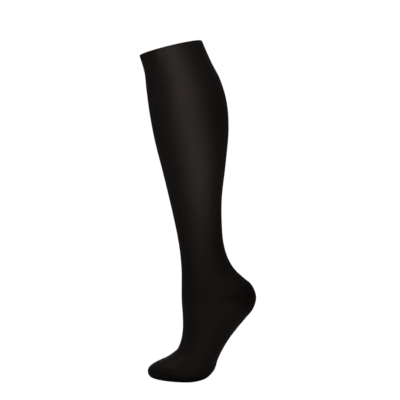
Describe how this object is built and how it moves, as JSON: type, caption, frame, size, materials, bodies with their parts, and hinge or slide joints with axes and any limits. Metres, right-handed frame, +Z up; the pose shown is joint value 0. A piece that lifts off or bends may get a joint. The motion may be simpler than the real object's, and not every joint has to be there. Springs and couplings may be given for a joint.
{
  "type": "compression stocking",
  "caption": "Knee-high knitted tube with a closed toe and a pocketed heel, in its worn form with the heel raised; open and hollow at the top.",
  "frame": {"origin": "middle of the open top, where the wearer's leg fills the stocking and holds it", "axes": "+Z up along the leg, X fore and aft with the toe at -X and the heel at +X, Y across; the two sides of Y = 0 are alike"},
  "size_m": [0.187, 0.112, 0.5462],
  "materials": {
    "leg_knit": "fine plain knit of covered elastic yarn, black, opaque, with a soft satin sheen",
    "heel_knit": "denser reinforced plain knit, black, a shade darker and flatter than the leg",
    "foot_knit": "fine plain knit of covered elastic yarn, black, opaque, low sheen",
    "toe_knit": "denser reinforced plain knit, black, closed by a linked seam"
  },
  "bodies": {
    "root": {"leg": "leg_knit", "heel_pocket": "heel_knit", "foot": "foot_knit", "toe_cap": "toe_knit"}
  },
  "joints": []
}
